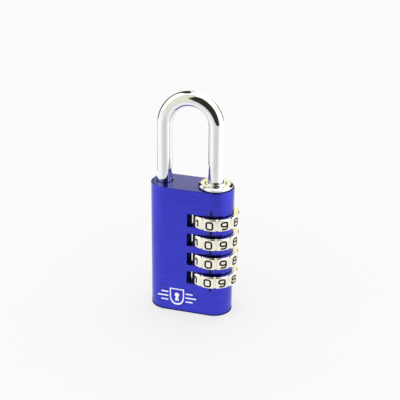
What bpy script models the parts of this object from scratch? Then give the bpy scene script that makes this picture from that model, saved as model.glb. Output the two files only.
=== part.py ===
"""Four-dial combination padlock, modelled as the separate pieces it comes apart into.

Frame: metres, +Z up, origin at the middle of the body's bottom face, +X from the toe leg to the dials,
and the index marks on the -Y face. The dials, the code sleeves and the long leg of the shackle share
one upright axis, at X = AXIS_X.
"""

import math

import bmesh
import bpy
from mathutils import Matrix, Vector

MM = 0.001

# Body: a bar with a stadium section
BODY_WIDTH = 30.0 * MM
BODY_DEPTH = 13.2 * MM
BODY_HEIGHT = 48.3 * MM
BODY_CHAMFER = 0.3 * MM
END_RADIUS = BODY_DEPTH / 2
AXIS_X = BODY_WIDTH / 2 - END_RADIUS
END_STEPS = 20

# Dials, from the top one down
DIAL_COUNT = 4
DIAL_PITCH = 7.48 * MM
DIAL_RADIUS = 8.54 * MM
DIAL_HEIGHT = 4.55 * MM
TOP_DIAL_Z = 36.97 * MM
DIAL_CHAMFER = 0.35 * MM
DIGITS = 10
GROOVE_WIDTH = 1.05 * MM
GROOVE_DEPTH = 0.5 * MM
PANEL_STEPS = 3
GROOVE_STEPS = 4

# Slots for the dials, sawn by a large disc
SLOT_HEIGHT = 4.9 * MM
SLOT_FACE_X = 0.0 * MM
SLOT_DISC_RADIUS = 20.0 * MM
SLOT_DISC_STEPS = 120

# Main bore and the code sleeves in it
BORE_RADIUS = 4.3 * MM
DIAL_BORE_RADIUS = 4.25 * MM
NOTCH_RADIUS = 4.2 * MM
BAND_RADIUS = 3.65 * MM
BAND_HEIGHT = 1.2 * MM
NOTCH_WIDTH = 1.3 * MM
SLEEVE_RADIUS = 3.45 * MM
SLEEVE_TOP = 4.7 * MM
SLEEVE_LENGTH = 7.18 * MM
KEY_COUNT = 5
KEY_RADIUS = 4.05 * MM
KEY_WIDTH = 0.9 * MM
KEY_HEIGHT = 1.0 * MM
KEY_TOP_GAP = 0.1 * MM
SLEEVE_NARROW_RADIUS = 1.95 * MM
SLEEVE_WIDE_RADIUS = 2.95 * MM
KEYWAY_WIDTH = 2.3 * MM
SLEEVE_WIDE_LENGTH = 3.1 * MM

# Shackle
LEG_RADIUS = 2.7 * MM
TOE_X = -10.2 * MM
ARCH_RADIUS = (AXIS_X - TOE_X) / 2
SHACKLE_TOP = 81.9 * MM
ARCH_Z = SHACKLE_TOP - LEG_RADIUS - ARCH_RADIUS
TOE_DEPTH = 5.0 * MM
TOE_CHAMFER = 0.7 * MM
LEG_SIDES = 20
ARCH_STEPS = 24
SHACKLE_LIFT = DIAL_PITCH
CORE_RADIUS = 1.75 * MM
CORE_TIP_CHAMFER = 0.2 * MM
LUG_ROOT_RADIUS = 1.0 * MM
LUG_WIDTH = 1.8 * MM
LUG_HEIGHT = 1.2 * MM
LUG_RISE = 0.4 * MM
LEG_END_Z = 2.5 * MM

# Fits: what touches keeps GAP, what slides keeps RUNNING
GAP = 0.3 * MM
RUNNING = 0.15 * MM

# Toe hole
TOE_HOLE_RADIUS = LEG_RADIUS + GAP
TOE_HOLE_DEPTH = TOE_DEPTH + 0.8 * MM
OVERCUT = 1.0 * MM

# Collar pressed in the top of the bore
COLLAR_BORE_RADIUS = LEG_RADIUS + RUNNING
COLLAR_FLANGE_RADIUS = 6.1 * MM
COLLAR_FLANGE_HEIGHT = 1.1 * MM
COLLAR_BEVEL = 0.5 * MM
COLLAR_RING_RADIUS = 3.9 * MM
COLLAR_RING_FOOT = 0.3 * MM
COLLAR_RING_HEIGHT = 0.5 * MM
COLLAR_SOFT_EDGE = 0.2 * MM
COLLAR_SPIGOT_RADIUS = 4.6 * MM
COLLAR_SPIGOT_LENGTH = 3.6 * MM

# Thrust washer, reset spring, retaining ring and plug below the sleeves
WASHER_RADIUS = 4.0 * MM
WASHER_HOLE_RADIUS = 2.0 * MM
WASHER_THICKNESS = 0.6 * MM
RESET_TRAVEL = 1.2 * MM
RING_RADIUS = 2.75 * MM
RING_THICKNESS = 0.4 * MM
RING_LIFT_GAP = 0.1 * MM
RING_GROOVE_RADIUS = 1.2 * MM
RING_GROOVE_GAP = 0.25 * MM
RING_MOUTH = 60.0
PLUG_RADIUS = 5.0 * MM
PLUG_BOTTOM = 0.2 * MM
PLUG_THICKNESS = 1.0 * MM
PLUG_CHAMFER = 0.2 * MM
RESET_WIRE_RADIUS = 0.35 * MM
RESET_COIL_RADIUS = 3.6 * MM
RESET_TURNS = 6

# A spring's end turns, in wire radii from turn to turn
CLOSED_PITCH = 2.15

# Click balls, each with its spring in a pocket drilled from the slot's inner end
BALL_RADIUS = 1.0 * MM
BALL_CLEARANCE = 0.05 * MM
BALL_POCKET_RADIUS = 1.15 * MM
BALL_POCKET_DEPTH = 4.2 * MM
BALL_SPRING_GAP = 0.2 * MM
CLICK_WIRE_RADIUS = 0.15 * MM
CLICK_COIL_RADIUS = 0.8 * MM
CLICK_TURNS = 5

# Colours
ANODISED_BLUE = (0.045, 0.035, 0.42)
CHROME = (0.88, 0.88, 0.90)
SATIN_NICKEL = (0.78, 0.75, 0.68)
BRASS = (0.72, 0.56, 0.26)
SPRING_STEEL = (0.45, 0.45, 0.47)
BALL_STEEL = (0.72, 0.73, 0.75)
ZINC = (0.60, 0.61, 0.63)


def clear_scene():
    for thing in list(bpy.data.objects):
        bpy.data.objects.remove(thing, do_unlink=True)


def material(name, colour, roughness, metallic=1.0):
    made = bpy.data.materials.new(name)
    made.use_nodes = True
    shader = made.node_tree.nodes["Principled BSDF"]
    shader.inputs["Base Color"].default_value = (*colour, 1.0)
    shader.inputs["Roughness"].default_value = roughness
    shader.inputs["Metallic"].default_value = metallic
    made.diffuse_color = (*colour, 1.0)
    return made


def from_bmesh(name, shape):
    bmesh.ops.recalc_face_normals(shape, faces=shape.faces)
    mesh = bpy.data.meshes.new(name)
    shape.to_mesh(mesh)
    shape.free()
    thing = bpy.data.objects.new(name, mesh)
    bpy.context.scene.collection.objects.link(thing)
    return thing


def loft(name, rings):
    """A closed solid through rings of points, which all have the same number of points."""
    shape = bmesh.new()
    loops = [[shape.verts.new(point) for point in ring] for ring in rings]
    count = len(loops[0])
    for lower, upper in zip(loops, loops[1:]):
        for i in range(count):
            j = (i + 1) % count
            shape.faces.new((lower[i], lower[j], upper[j], upper[i]))
    shape.faces.new(list(reversed(loops[0])))
    shape.faces.new(loops[-1])
    return from_bmesh(name, shape)


def prism(name, outline, low, high):
    """A plane outline of (x, y) pushed up from low to high."""
    return loft(name, [[(x, y, z) for x, y in outline] for z in (low, high)])


def turned(name, profile, steps=32):
    """A closed profile of (radius, z) turned all the way round the Z axis."""
    shape = bmesh.new()
    loops = []
    for i in range(steps):
        angle = 2 * math.pi * i / steps
        across, along = math.cos(angle), math.sin(angle)
        loops.append([shape.verts.new((r * across, r * along, z)) for r, z in profile])
    for i in range(steps):
        here, there = loops[i], loops[(i + 1) % steps]
        for j in range(len(profile)):
            k = (j + 1) % len(profile)
            shape.faces.new((here[j], there[j], there[k], here[k]))
    return from_bmesh(name, shape)


def disc(name, radius, low, high, steps=32, x=AXIS_X):
    return prism(name, circle(radius, steps, x), low, high)


def circle(radius, steps, x=0.0):
    turn = 2 * math.pi / steps
    return [(x + radius * math.cos(turn * i), radius * math.sin(turn * i)) for i in range(steps)]


def stadium(inset, steps=END_STEPS):
    """The body's section, moved in by inset."""
    radius = END_RADIUS - inset
    points = []
    for centre_x, start in ((AXIS_X, -90.0), (-AXIS_X, 90.0)):
        for i in range(steps + 1):
            angle = math.radians(start + 180.0 * i / steps)
            points.append((centre_x + radius * math.cos(angle), radius * math.sin(angle)))
    return points


def combine(base, tool, operation):
    """Base cut by tool, or joined to it. The tool is used up."""
    step = base.modifiers.new(operation.lower(), "BOOLEAN")
    step.operation = operation
    step.solver = "EXACT"
    step.object = tool
    bpy.context.view_layer.update()
    evaluated = base.evaluated_get(bpy.context.evaluated_depsgraph_get())
    mesh = bpy.data.meshes.new_from_object(evaluated)
    base.modifiers.clear()
    base.data = mesh
    bpy.data.objects.remove(tool, do_unlink=True)


def cut(base, *tools):
    for tool in tools:
        combine(base, tool, "DIFFERENCE")


def join(base, *tools):
    for tool in tools:
        combine(base, tool, "UNION")


def sweep(points, radius, sides):
    """Rings of a round wire along a path, each square to the path, carried along without twist."""
    rings = []
    tangent = (points[1] - points[0]).normalized()
    side = tangent.orthogonal().normalized()
    for i, point in enumerate(points):
        before = points[max(i - 1, 0)]
        after = points[min(i + 1, len(points) - 1)]
        new_tangent = (after - before).normalized()
        side = (tangent.rotation_difference(new_tangent) @ side).normalized()
        tangent = new_tangent
        other = tangent.cross(side)
        turn = 2 * math.pi / sides
        spokes = [side * math.cos(turn * j) + other * math.sin(turn * j) for j in range(sides)]
        rings.append([point + spoke * radius for spoke in spokes])
    return rings


def coil(name, coil_radius, wire_radius, turns, length, steps, sides=6):
    """A compression spring with closed ends, standing on Z = 0 on its own axis."""
    pitch_end = CLOSED_PITCH * wire_radius
    rise = length - 2 * wire_radius
    free = (rise - 2 * pitch_end) / (turns - 2)
    points = []
    for i in range(turns * steps + 1):
        turn = i / steps
        if turn <= 1:
            z = pitch_end * turn
        elif turn <= turns - 1:
            z = pitch_end + free * (turn - 1)
        else:
            z = rise - pitch_end * (turns - turn)
        angle = 2 * math.pi * turn
        x, y = coil_radius * math.cos(angle), coil_radius * math.sin(angle)
        points.append(Vector((x, y, z + wire_radius)))
    return loft(name, sweep(points, wire_radius, sides))


def finish(thing, surface, angle=32.0):
    """Gives a piece its material and smooth shading between its sharp edges."""
    thing.data.materials.clear()
    thing.data.materials.append(surface)
    thing.data.shade_smooth()
    thing.data.set_sharp_from_angle(angle=math.radians(angle))
    return thing


def place(thing, x=0.0, z=0.0):
    """Moves a piece so that its own origin is at x, 0, z."""
    thing.location = (x, 0.0, z)


def dial_z(number):
    return TOP_DIAL_Z - DIAL_PITCH * (number - 1)


def ball_x():
    """The centre of a click ball that is pushed back just clear of the dial's rim."""
    return AXIS_X - DIAL_RADIUS - BALL_CLEARANCE - BALL_RADIUS


SLEEVE_STACK_TOP = TOP_DIAL_Z + SLEEVE_TOP
SLEEVE_STACK_BOTTOM = dial_z(DIAL_COUNT) + SLEEVE_TOP - SLEEVE_LENGTH
WASHER_TOP = SLEEVE_STACK_BOTTOM - GAP
WASHER_BOTTOM = WASHER_TOP - WASHER_THICKNESS
RING_TOP = WASHER_BOTTOM - SHACKLE_LIFT - RING_LIFT_GAP
RING_BOTTOM = RING_TOP - RING_THICKNESS
SHOULDER_Z = SLEEVE_STACK_TOP + GAP


def slot_cutter(number):
    """The path of a saw disc that enters at the dial end and stops at SLOT_FACE_X on the two faces."""
    reach = math.sqrt(SLOT_DISC_RADIUS**2 - (BODY_DEPTH / 2) ** 2)
    middle = dial_z(number)
    return disc(
        "slot_cutter",
        SLOT_DISC_RADIUS,
        middle - SLOT_HEIGHT / 2,
        middle + SLOT_HEIGHT / 2,
        steps=SLOT_DISC_STEPS,
        x=SLOT_FACE_X + reach,
    )


def slot_end_x():
    """The slot's inner end on the body's mid plane."""
    reach = math.sqrt(SLOT_DISC_RADIUS**2 - (BODY_DEPTH / 2) ** 2)
    return SLOT_FACE_X + reach - SLOT_DISC_RADIUS


def pocket_cutter(number):
    """A short round hole along X, from inside the slot into the body."""
    start = slot_end_x() + OVERCUT
    end = slot_end_x() - BALL_POCKET_DEPTH
    rings = [
        [(x, y, dial_z(number) + z) for y, z in circle(BALL_POCKET_RADIUS, 16)] for x in (end, start)
    ]
    return loft("pocket_cutter", rings)


def body_block():
    levels = (
        (0.0, BODY_CHAMFER),
        (BODY_CHAMFER, 0.0),
        (BODY_HEIGHT - BODY_CHAMFER, 0.0),
        (BODY_HEIGHT, BODY_CHAMFER),
    )
    block = loft("body_block", [[(x, y, z) for x, y in stadium(inset)] for z, inset in levels])
    above = BODY_HEIGHT + OVERCUT
    spigot_bottom = BODY_HEIGHT + GAP - COLLAR_SPIGOT_LENGTH
    toe_bottom = BODY_HEIGHT - TOE_HOLE_DEPTH
    cut(
        block,
        disc("toe_hole", TOE_HOLE_RADIUS, toe_bottom, above, steps=24, x=TOE_X),
        disc("collar_seat", COLLAR_SPIGOT_RADIUS + GAP, spigot_bottom - GAP, above),
        disc("plug_seat", PLUG_RADIUS + GAP, -OVERCUT, PLUG_BOTTOM + PLUG_THICKNESS + GAP),
        disc("main_bore", BORE_RADIUS, -OVERCUT, above),
    )
    for number in range(1, DIAL_COUNT + 1):
        cut(block, slot_cutter(number), pocket_cutter(number))
    return finish(block, material("anodised_aluminium", ANODISED_BLUE, 0.35))


def shackle_path():
    """The centre line of the full-size bar, from the shoulder on the long leg over to the toe."""
    arch_x = (AXIS_X + TOE_X) / 2
    points = [Vector((AXIS_X, 0.0, SHOULDER_Z))]
    for i in range(ARCH_STEPS + 1):
        angle = math.pi * i / ARCH_STEPS
        x = arch_x + ARCH_RADIUS * math.cos(angle)
        points.append(Vector((x, 0.0, ARCH_Z + ARCH_RADIUS * math.sin(angle))))
    return points


def ring_at(centre, normal, radius):
    """A ring of the shackle's bar, square to the plane of its centre line."""
    across = Vector((0.0, 1.0, 0.0)).cross(normal)
    turn = 2 * math.pi / LEG_SIDES
    points = []
    for j in range(LEG_SIDES):
        angle = turn * (j + 0.5)
        points.append(centre + (across * math.cos(angle) + Vector((0, 1, 0)) * math.sin(angle)) * radius)
    return points


def shackle():
    up = Vector((0.0, 0.0, 1.0))
    groove_top = RING_TOP + RING_GROOVE_GAP
    groove_bottom = RING_BOTTOM - RING_GROOVE_GAP
    core = (
        (LEG_END_Z, CORE_RADIUS - CORE_TIP_CHAMFER),
        (LEG_END_Z + CORE_TIP_CHAMFER, CORE_RADIUS),
        (groove_bottom, CORE_RADIUS),
        (groove_bottom, RING_GROOVE_RADIUS),
        (groove_top, RING_GROOVE_RADIUS),
        (groove_top, CORE_RADIUS),
        (SHOULDER_Z, CORE_RADIUS),
        (SHOULDER_Z, LEG_RADIUS),
    )
    rings = [ring_at(Vector((AXIS_X, 0.0, z)), up, radius) for z, radius in core]
    arch = shackle_path()[1:]
    for i, point in enumerate(arch):
        angle = math.pi * i / ARCH_STEPS
        rings.append(ring_at(point, Vector((-math.sin(angle), 0.0, math.cos(angle))), LEG_RADIUS))
    toe_z = BODY_HEIGHT - TOE_DEPTH
    down = -up
    rings.append(ring_at(Vector((TOE_X, 0.0, toe_z + TOE_CHAMFER)), down, LEG_RADIUS))
    rings.append(ring_at(Vector((TOE_X, 0.0, toe_z)), down, LEG_RADIUS - TOE_CHAMFER))
    bar = loft("shackle", rings)
    for number in range(1, DIAL_COUNT + 1):
        join(bar, lug(number))
    return finish(bar, material("chrome_plate", CHROME, 0.06))


def key_outline(inner, outer, width, direction, steps=3):
    """A short bar on a round shaft, from radius inner out to an arc of radius outer."""
    half = math.asin(width / 2 / outer)
    corners = [(inner, -width / 2)]
    for i in range(steps + 1):
        angle = -half + 2 * half * i / steps
        corners.append((outer * math.cos(angle), outer * math.sin(angle)))
    corners.append((inner, width / 2))
    c, s = math.cos(direction), math.sin(direction)
    return [(AXIS_X + x * c - y * s, x * s + y * c) for x, y in corners]


def lug(number):
    """One lug of the long leg, in the wide part of its code sleeve, on the side away from the dials' end."""
    sleeve_bottom = dial_z(number) + SLEEVE_TOP - SLEEVE_LENGTH
    low = sleeve_bottom + LUG_RISE
    outline = key_outline(LUG_ROOT_RADIUS, LEG_RADIUS, LUG_WIDTH, math.pi)
    return prism("lug", outline, low, low + LUG_HEIGHT)


def shackle_collar():
    seat = BODY_HEIGHT + GAP
    top = seat + COLLAR_FLANGE_HEIGHT
    ring_top = top + COLLAR_RING_HEIGHT
    profile = (
        (COLLAR_BORE_RADIUS, seat - COLLAR_SPIGOT_LENGTH),
        (COLLAR_SPIGOT_RADIUS, seat - COLLAR_SPIGOT_LENGTH),
        (COLLAR_SPIGOT_RADIUS, seat),
        (COLLAR_FLANGE_RADIUS, seat),
        (COLLAR_FLANGE_RADIUS, seat + COLLAR_BEVEL),
        (COLLAR_FLANGE_RADIUS - COLLAR_BEVEL, top),
        (COLLAR_RING_RADIUS + COLLAR_RING_FOOT, top - COLLAR_SOFT_EDGE),
        (COLLAR_RING_RADIUS, ring_top - COLLAR_SOFT_EDGE),
        (COLLAR_RING_RADIUS - COLLAR_SOFT_EDGE, ring_top),
        (COLLAR_BORE_RADIUS + COLLAR_SOFT_EDGE, ring_top),
        (COLLAR_BORE_RADIUS, ring_top - COLLAR_SOFT_EDGE),
    )
    collar = turned("shackle_collar", profile, steps=32)
    place(collar, x=AXIS_X)
    return finish(collar, material("polished_chrome", CHROME, 0.08))


def dial_outline(inset):
    """Ten panels with a rounded groove between each two, seen along the axis. A panel faces -Y."""
    points = []
    panel = 2 * math.pi / DIGITS
    groove = GROOVE_WIDTH / DIAL_RADIUS
    for i in range(DIGITS):
        middle = -math.pi / 2 + panel * i
        for j in range(PANEL_STEPS + 1):
            angle = middle + (panel - groove) * (j / PANEL_STEPS - 0.5)
            points.append((angle, DIAL_RADIUS - inset))
        for j in range(1, GROOVE_STEPS):
            share = j / GROOVE_STEPS
            angle = middle + (panel - groove) / 2 + groove * share
            points.append((angle, DIAL_RADIUS - inset - GROOVE_DEPTH * math.sin(math.pi * share)))
    return [(r * math.cos(a), r * math.sin(a)) for a, r in points]


def notched_outline():
    """The bore of the dial's upper band: a round hole with one notch for each digit."""
    half_inner = math.asin(NOTCH_WIDTH / 2 / BAND_RADIUS)
    half_outer = math.asin(NOTCH_WIDTH / 2 / NOTCH_RADIUS)
    points = []
    for i in range(DIGITS):
        middle = -math.pi / 2 + 2 * math.pi / DIGITS * i
        for radius, angle in (
            (BAND_RADIUS, middle - half_inner),
            (NOTCH_RADIUS, middle - half_outer),
            (NOTCH_RADIUS, middle + half_outer),
            (BAND_RADIUS, middle + half_inner),
        ):
            points.append((radius * math.cos(angle), radius * math.sin(angle)))
    return points


def dial_mesh():
    half = DIAL_HEIGHT / 2
    straight = half - DIAL_CHAMFER
    levels = ((-half, DIAL_CHAMFER), (-straight, 0.0), (straight, 0.0), (half, DIAL_CHAMFER))
    dial = loft("dial", [[(x, y, z) for x, y in dial_outline(inset)] for z, inset in levels])
    band = half - BAND_HEIGHT
    cut(
        dial,
        disc("dial_bore", DIAL_BORE_RADIUS, -half - OVERCUT, band, x=0.0),
        prism("dial_notches", notched_outline(), band - OVERCUT, half + OVERCUT),
    )
    return dial


def sleeve_mesh():
    """A code sleeve with its top at Z = SLEEVE_TOP, so that its dial's middle is at Z = 0."""
    bottom = SLEEVE_TOP - SLEEVE_LENGTH
    sleeve = disc("sleeve", SLEEVE_RADIUS, bottom, SLEEVE_TOP, x=0.0)
    key_top = DIAL_HEIGHT / 2 - KEY_TOP_GAP
    for i in range(KEY_COUNT):
        direction = -math.pi / 2 + 2 * math.pi / KEY_COUNT * i
        outline = key_outline(SLEEVE_WIDE_RADIUS, KEY_RADIUS, KEY_WIDTH, direction)
        centred = [(x - AXIS_X, y) for x, y in outline]
        join(sleeve, prism("key", centred, key_top - KEY_HEIGHT, key_top))
    low, high = bottom - OVERCUT, SLEEVE_TOP + OVERCUT
    keyway = key_outline(LUG_ROOT_RADIUS, SLEEVE_WIDE_RADIUS, KEYWAY_WIDTH, math.pi)
    cut(
        sleeve,
        disc("narrow_bore", SLEEVE_NARROW_RADIUS, low, high, steps=24, x=0.0),
        disc("wide_bore", SLEEVE_WIDE_RADIUS, low, bottom + SLEEVE_WIDE_LENGTH, x=0.0),
        prism("keyway", [(x - AXIS_X, y) for x, y in keyway], low, high),
    )
    return sleeve


def ball_mesh():
    shape = bmesh.new()
    bmesh.ops.create_uvsphere(shape, u_segments=12, v_segments=8, radius=BALL_RADIUS)
    return from_bmesh("ball", shape)


def click_spring_mesh():
    """A click spring along X, with its far end on the bottom of its pocket."""
    pocket_end = slot_end_x() - BALL_POCKET_DEPTH
    start = pocket_end + GAP
    length = ball_x() - BALL_RADIUS - BALL_SPRING_GAP - start
    spring = coil("click_spring", CLICK_COIL_RADIUS, CLICK_WIRE_RADIUS, CLICK_TURNS, length, 8, sides=5)
    spring.data.transform(Matrix.Translation((start, 0.0, 0.0)) @ Matrix.Rotation(math.pi / 2, 4, "Y"))
    return spring


def copies(source, name, surface, x):
    """One object at each dial's height, all with the source's mesh. The source itself is used up."""
    finish(source, surface)
    mesh = source.data
    bpy.data.objects.remove(source, do_unlink=True)
    for number in range(1, DIAL_COUNT + 1):
        piece = bpy.data.objects.new(f"{name}_{number}", mesh)
        bpy.context.scene.collection.objects.link(piece)
        place(piece, x=x, z=dial_z(number))


def thrust_washer():
    profile = (
        (WASHER_HOLE_RADIUS, WASHER_BOTTOM),
        (WASHER_RADIUS, WASHER_BOTTOM),
        (WASHER_RADIUS, WASHER_TOP),
        (WASHER_HOLE_RADIUS, WASHER_TOP),
    )
    washer = turned("thrust_washer", profile, steps=24)
    place(washer, x=AXIS_X)
    return finish(washer, material("washer_steel", ZINC, 0.4))


def reset_spring():
    low = PLUG_BOTTOM + PLUG_THICKNESS + GAP
    length = WASHER_BOTTOM - GAP - low
    spring = coil("reset_spring", RESET_COIL_RADIUS, RESET_WIRE_RADIUS, RESET_TURNS, length, 16)
    place(spring, x=AXIS_X, z=low)
    return finish(spring, material("spring_steel", SPRING_STEEL, 0.35))


def retaining_ring():
    """A flat C-shaped ring in the groove at the end of the long leg, open towards -Y."""
    inner = RING_GROOVE_RADIUS + GAP
    steps = 18
    start = math.radians(-90.0 + RING_MOUTH / 2)
    span = math.radians(360.0 - RING_MOUTH)
    angles = [start + span * i / steps for i in range(steps + 1)]
    outline = [(AXIS_X + RING_RADIUS * math.cos(a), RING_RADIUS * math.sin(a)) for a in angles]
    outline += [(AXIS_X + inner * math.cos(a), inner * math.sin(a)) for a in reversed(angles)]
    ring = prism("retaining_ring", outline, RING_BOTTOM, RING_TOP)
    return finish(ring, material("ring_steel", SPRING_STEEL, 0.4))


def bottom_plug():
    top = PLUG_BOTTOM + PLUG_THICKNESS
    rings = []
    for z, radius in (
        (PLUG_BOTTOM, PLUG_RADIUS - PLUG_CHAMFER),
        (PLUG_BOTTOM + PLUG_CHAMFER, PLUG_RADIUS),
        (top, PLUG_RADIUS),
    ):
        rings.append([(x, y, z) for x, y in circle(radius, 32, AXIS_X)])
    plug = loft("bottom_plug", rings)
    return finish(plug, material("plug_aluminium", ZINC, 0.35))


def main():
    clear_scene()
    body_block()
    shackle()
    shackle_collar()
    copies(dial_mesh(), "dial_wheel", material("satin_nickel", SATIN_NICKEL, 0.3), AXIS_X)
    copies(sleeve_mesh(), "code_sleeve", material("sleeve_brass", BRASS, 0.35), AXIS_X)
    copies(ball_mesh(), "click_ball", material("ball_steel", BALL_STEEL, 0.12), ball_x())
    spring_steel = material("click_spring_steel", SPRING_STEEL, 0.35)
    copies(click_spring_mesh(), "click_spring", spring_steel, 0.0)
    thrust_washer()
    reset_spring()
    retaining_ring()
    bottom_plug()


main()
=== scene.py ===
"""The looks of a four-dial combination padlock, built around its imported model.

Everything is in metres in the model's frame: +Z up, the dials' shared axis upright, and the digits being read
facing -Y.
"""

import math

import bmesh
import bpy
from mathutils import Matrix, Vector

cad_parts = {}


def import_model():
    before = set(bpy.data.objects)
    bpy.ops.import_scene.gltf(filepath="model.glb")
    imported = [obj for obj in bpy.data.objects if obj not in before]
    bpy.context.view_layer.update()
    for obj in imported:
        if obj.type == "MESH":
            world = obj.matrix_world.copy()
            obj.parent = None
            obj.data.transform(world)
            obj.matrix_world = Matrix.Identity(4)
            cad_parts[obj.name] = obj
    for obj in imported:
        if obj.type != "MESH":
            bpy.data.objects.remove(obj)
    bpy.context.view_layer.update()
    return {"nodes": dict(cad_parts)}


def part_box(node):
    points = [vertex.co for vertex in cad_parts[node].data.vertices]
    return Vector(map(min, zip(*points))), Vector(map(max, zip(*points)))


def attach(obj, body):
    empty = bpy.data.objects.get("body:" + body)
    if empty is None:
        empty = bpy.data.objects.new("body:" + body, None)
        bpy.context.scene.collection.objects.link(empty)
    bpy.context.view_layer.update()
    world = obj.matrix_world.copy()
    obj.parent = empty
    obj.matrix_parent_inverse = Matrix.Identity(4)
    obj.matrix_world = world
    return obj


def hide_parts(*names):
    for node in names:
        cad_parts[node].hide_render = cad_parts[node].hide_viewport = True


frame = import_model()

MM = 0.001
DIALS = (1, 2, 3, 4)
# What touches inside the lock keeps this far apart, as in the CAD model
GAP = 0.3 * MM

# Places, from the frame
BODY_LOW, BODY_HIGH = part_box("body_block")
COLLAR_LOW, COLLAR_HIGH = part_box("shackle_collar")
SHACKLE_LOW, SHACKLE_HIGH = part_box("shackle")
PLUG_LOW, PLUG_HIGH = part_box("bottom_plug")
AXIS_X = sum(corner.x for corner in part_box("dial_wheel_1")) / 2
DIAL_Z = {k: sum(corner.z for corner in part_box(f"dial_wheel_{k}")) / 2 for k in DIALS}

# Body
BODY_HEIGHT = BODY_HIGH.z
END_RADIUS = BODY_HIGH.y
FRONT_Y = -END_RADIUS
END_X = BODY_HIGH.x - END_RADIUS
BODY_EDGE = 0.3 * MM
BODY_EDGE_STEPS = 4
END_STEPS = 72
SLOT_HEIGHT = 4.9 * MM
SLOT_FACE_X = 0.0
SLOT_DISC_RADIUS = 20.0 * MM
SLOT_DISC_STEPS = 360
BORE_RADIUS = 4.3 * MM
SEAT_RADIUS = 4.9 * MM
PLUG_SEAT_RADIUS = 5.3 * MM
PLUG_SEAT_DEPTH = 1.5 * MM
# How far from the top and bottom the inside of the body starts, for its near-black surface of painted shade
DEEP_BELOW_TOP = 0.4 * MM
DEEP_ABOVE_FOOT = 0.5 * MM
POCKET_RADIUS = 1.15 * MM
POCKET_DEPTH = 4.2 * MM
CUT_EDGE = 0.1 * MM
OVERCUT = 1.0 * MM

# Dials
DIGITS = 10
PANEL_ANGLE = 2 * math.pi / DIGITS
DIAL_RADIUS = 8.54 * MM
DIAL_HALF = 2.275 * MM
DIAL_CHAMFER = 0.35 * MM
GROOVE_WIDTH = 1.05 * MM
GROOVE_DEPTH = 0.5 * MM
PANEL_STEPS = 14
GROOVE_STEPS = 10
DIAL_BORE_RADIUS = 4.25 * MM
BAND_RADIUS = 3.65 * MM
BAND_HEIGHT = 1.2 * MM
NOTCH_RADIUS = 4.2 * MM
NOTCH_WIDTH = 1.3 * MM
RIM_STEPS = 360
ENGRAVED_DEPTH = 0.12 * MM
INK_SUNK = 0.03 * MM
# How far each dial stands from its exact click, in degrees, and how far it sinks onto the slot's lower wall
DIAL_PLAY = {1: 2.0, 2: 0.3, 3: 0.8, 4: -1.1}
DIAL_SINK = 0.12 * MM

# Digits
GLYPH_WIDTH = 2.25 * MM
GLYPH_HEIGHT = 2.6 * MM
GLYPH_DROP = 0.03 * MM
STROKE = 0.68 * MM
BEND = 0.72 * MM
BEND_STEPS = 7

# Shackle
LEG_RADIUS = 2.7 * MM
TOE_X = SHACKLE_LOW.x + LEG_RADIUS
ARCH_RADIUS = (AXIS_X - TOE_X) / 2
ARCH_X = (AXIS_X + TOE_X) / 2
# The bend isn't quite round: it is raised a little, long on the toe's side and short on the other
ARCH_RAISED = 0.13 * MM
CROWN_Z = SHACKLE_HIGH.z - LEG_RADIUS + ARCH_RAISED
TOE_SIDE_RISE = ARCH_RADIUS + 0.9 * MM
LONG_SIDE_RISE = ARCH_RADIUS - 0.3 * MM
TOE_Z = BODY_HEIGHT - 5.0 * MM
TOE_ROUND = 0.7 * MM
TOE_STEPS = 6
TOE_HOLE_RADIUS = 3.0 * MM
TOE_HOLE_DEPTH = 5.8 * MM
LEG_SIDES = 72
ARCH_STEPS = 120

# The long leg's core and lugs, inside the dials' sleeves
SLEEVE_LENGTH = 7.18 * MM
SLEEVE_TOP = 4.7 * MM
SHOULDER_Z = DIAL_Z[1] + SLEEVE_TOP + GAP
SHOULDER_EDGE = 0.12 * MM
CORE_RADIUS = 1.75 * MM
CORE_EDGE = 0.2 * MM
RING_GROOVE_RADIUS = 1.2 * MM
RING_GROOVE_GAP = 0.25 * MM
LUG_WIDTH = 1.8 * MM
LUG_HEIGHT = 1.2 * MM
LUG_RISE = 0.4 * MM
LUG_ROOT = 1.0 * MM
LUG_STEPS = 10

# Camera, fitted to the legs, edges, slots and dials
CAMERA_TURN = 16.33
CAMERA_RISE = 24.26
CAMERA_ROLL = 0.66
CAMERA_DISTANCE = 363.6 * MM
CAMERA_TARGET = Vector((2.75, 0.0, 42.31)) * MM
CAMERA_LENS = 93.1


def new_object(name, mesh):
    thing = bpy.data.objects.new(name, mesh)
    bpy.context.scene.collection.objects.link(thing)
    return thing


def from_bmesh(name, shape):
    bmesh.ops.recalc_face_normals(shape, faces=shape.faces)
    mesh = bpy.data.meshes.new(name)
    shape.to_mesh(mesh)
    shape.free()
    return new_object(name, mesh)


def loft(name, rings):
    """A solid through rings of points, which all have the same number of points."""
    shape = bmesh.new()
    loops = [[shape.verts.new(point) for point in ring] for ring in rings]
    count = len(loops[0])
    for lower, upper in zip(loops, loops[1:]):
        for i in range(count):
            j = (i + 1) % count
            shape.faces.new((lower[i], lower[j], upper[j], upper[i]))
    shape.faces.new(list(reversed(loops[0])))
    shape.faces.new(loops[-1])
    return from_bmesh(name, shape)


def prism(name, outline, low, high):
    return loft(name, [[(x, y, z) for x, y in outline] for z in (low, high)])


def circle(radius, steps, x=0.0):
    turn = 2 * math.pi / steps
    return [(x + radius * math.cos(turn * i), radius * math.sin(turn * i)) for i in range(steps)]


def disc(name, radius, low, high, steps=96, x=AXIS_X):
    return prism(name, circle(radius, steps, x), low, high)


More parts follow.
